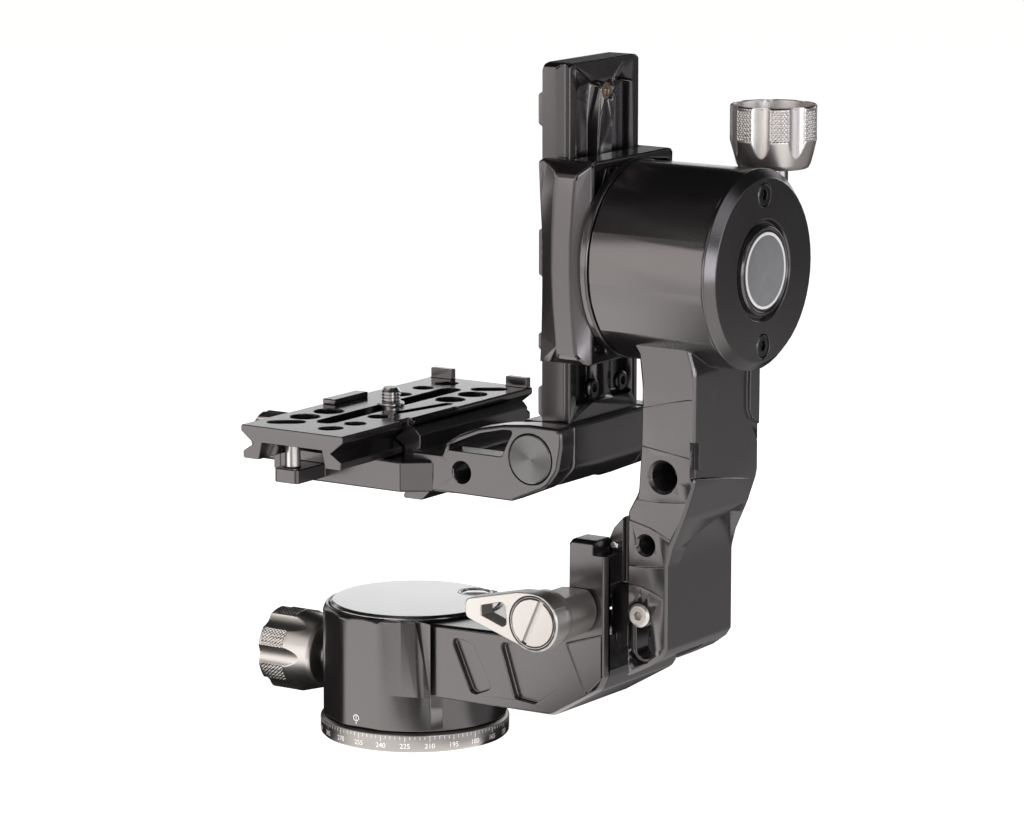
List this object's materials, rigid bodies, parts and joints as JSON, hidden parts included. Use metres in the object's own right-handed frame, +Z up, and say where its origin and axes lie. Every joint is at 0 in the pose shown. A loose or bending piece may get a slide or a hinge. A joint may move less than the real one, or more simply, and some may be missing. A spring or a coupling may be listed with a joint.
{
  "type": "gimbal tripod head",
  "caption": "Side-mounted gimbal head: turning base with level arm, folding upright, tilt drum, height rail and hinged quick-release platform.",
  "frame": {"origin": "on the turning axis, at the underside of the base ring", "axes": "+X along the tilt shaft and out through its end cap, +Y along the camera plate, +Z up along the turning axis"},
  "size_m": [0.1842, 0.1035, 0.2185],
  "materials": {
    "black": "satin black anodised",
    "dark": "satin dark grey anodised",
    "silver": "machined, clear anodised",
    "steel": "turned steel",
    "brass": "turned",
    "nylon": "matte",
    "vial": "clear, green fluid"
  },
  "bodies": {
    "base": {"degree_ring": "silver", "thread_insert": "steel", "pan_spindle": "steel", "ring_screw_1": "steel", "ring_screw_2": "steel", "ring_screw_3": "steel", "pan_bearing": "nylon"},
    "turning_body": {"pan_body": "black", "top_disc": "dark", "level_ring": "black", "level_vial": "vial", "arm_lock_nut": "steel"},
    "pan_lock": {"pan_lock_knob": "silver", "pan_lock_stud": "steel"},
    "pan_pad": {"pan_brake_pad": "brass"},
    "arm_lock": {"arm_lock_lever": "silver", "arm_lock_screw": "silver", "arm_lock_stud": "steel"},
    "fold_pivot": {"fold_bolt": "silver", "fold_bolt_nut": "steel"},
    "upright": {"upright_arm": "black", "seat_pin": "silver", "end_cap": "black", "cap_screw_1": "steel", "cap_screw_2": "steel", "cap_button": "black", "tilt_bearing_inner": "steel", "tilt_bearing_outer": "steel", "tilt_brake_ring": "brass"},
    "tilt_lock": {"tilt_lock_knob": "silver", "tilt_lock_stud": "steel"},
    "tilt_head": {"tilt_shaft": "dark", "shaft_nut": "steel", "rail_clamp": "black"},
    "rail_lock": {"rail_lock_knob": "black", "rail_lock_stud": "steel"},
    "rail": {"height_rail": "black", "top_stop_screw": "brass", "hinge_foot": "black", "rail_screw_1": "steel", "rail_screw_2": "steel", "hinge_pin": "dark"},
    "platform_bed": {"platform": "black"},
    "plate_lock": {"clamp_knob": "silver", "clamp_screw": "steel"},
    "jaw": {"sliding_jaw": "black"},
    "release_pin": {"safety_pin": "silver"},
    "plate": {"camera_plate": "black"},
    "plate_screw": {"camera_screw": "silver"}
  },
  "joints": [
    {"name": "pan", "type": "hinge", "parent": "base", "child": "turning_body", "pos_m": [0, 0, 0.02], "axis": [0, 0, 1], "continuous": true},
    {"name": "pan_lock_turn", "type": "hinge", "parent": "turning_body", "child": "pan_lock", "pos_m": [-0.043, 0, 0.0206], "axis": [1, 0, 0], "range_deg": [0, 180]},
    {"name": "pan_pad_press", "type": "slide", "parent": "turning_body", "child": "pan_pad", "axis": [1, 0, 0], "range_m": [0, 0.0005]},
    {"name": "arm_lock_turn", "type": "hinge", "parent": "turning_body", "child": "arm_lock", "pos_m": [0.0759, -0.03, 0.0536], "axis": [0, 1, 0], "range_deg": [-20, 70]},
    {"name": "arm_fold", "type": "hinge", "parent": "turning_body", "child": "fold_pivot", "pos_m": [0.0965, 0, 0.0534], "axis": [0, 1, 0], "range_deg": [0, 90]},
    {"name": "arm_lift", "type": "slide", "parent": "fold_pivot", "child": "upright", "axis": [0, 0, 1], "range_m": [0, 0.011]},
    {"name": "tilt_lock_turn", "type": "hinge", "parent": "upright", "child": "tilt_lock", "pos_m": [0.114, 0.0274, 0.18], "axis": [0, 0, 1], "range_deg": [-180, 180]},
    {"name": "tilt", "type": "hinge", "parent": "upright", "child": "tilt_head", "pos_m": [0.1, 0, 0.1587], "axis": [1, 0, 0], "continuous": true},
    {"name": "rail_lock_turn", "type": "hinge", "parent": "tilt_head", "child": "rail_lock", "pos_m": [0.0756, 0.03, 0.164], "axis": [0, 1, 0], "range_deg": [-180, 180]},
    {"name": "rail_height", "type": "slide", "parent": "tilt_head", "child": "rail", "axis": [0, 0, 1], "range_m": [-0.012, 0.006]},
    {"name": "platform_fold", "type": "hinge", "parent": "rail", "child": "platform_bed", "pos_m": [0.0626, 0, 0.099], "axis": [0, 1, 0], "range_deg": [0, 75]},
    {"name": "plate_lock_turn", "type": "hinge", "parent": "jaw", "child": "plate_lock", "pos_m": [-0.045, -0.004, 0.0906], "axis": [-1, 0, 0], "range_deg": [0, 540]},
    {"name": "jaw_open", "type": "slide", "parent": "platform_bed", "child": "jaw", "axis": [-1, 0, 0], "range_m": [0, 0.002]},
    {"name": "release_pin_press", "type": "slide", "parent": "platform_bed", "child": "release_pin", "axis": [0, 0, -1], "range_m": [0, 0.003], "stiffness_N_per_m": 300},
    {"name": "plate_slide", "type": "slide", "parent": "platform_bed", "child": "plate", "axis": [0, 1, 0], "range_m": [-0.02, 0.02]},
    {"name": "plate_screw_turn", "type": "hinge", "parent": "plate", "child": "plate_screw", "pos_m": [-0.005, -0.0054, 0.1], "axis": [0, 0, 1], "range_deg": [-180, 180]}
  ],
  "couplings": [
    {"joint": "pan_lock_turn", "follows": "pan_pad_press", "rad_per_m": 6276.9},
    {"joint": "arm_lift", "follows": "arm_fold", "m_per_rad": 0.0069958},
    {"joint": "plate_lock_turn", "follows": "jaw_open", "rad_per_m": 4707.7}
  ]
}
